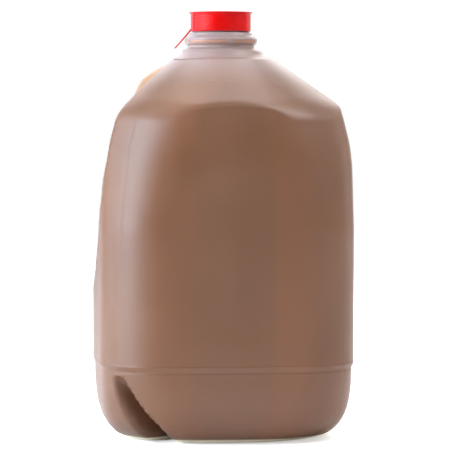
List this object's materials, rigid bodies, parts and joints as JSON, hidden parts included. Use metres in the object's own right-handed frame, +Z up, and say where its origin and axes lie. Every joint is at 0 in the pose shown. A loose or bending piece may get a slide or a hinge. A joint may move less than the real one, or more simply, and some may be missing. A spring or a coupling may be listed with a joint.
{
  "type": "gallon jug of apple cider",
  "caption": "Full blow-moulded plastic gallon jug of apple cider with a moulded corner handle, coned shoulder, stepped base and a red push-on cap with its pull tab",
  "frame": {"origin": "centre of the base, on the surface that the jug stands on", "axes": "+Z up along the jug's height; the handle is on the -X side, in the XZ plane, which is the mould's parting plane; the body's four corners point along X and Y"},
  "size_m": [0.181, 0.181, 0.254],
  "materials": {
    "translucent_plastic": "thin cloudy blow-moulded polyethylene, satin",
    "cider": "cloudy brown liquid",
    "red_cap": "red moulded plastic, satin"
  },
  "bodies": {
    "root": {"jug": "translucent_plastic", "cider": "cider", "cap": "red_cap"}
  },
  "joints": []
}
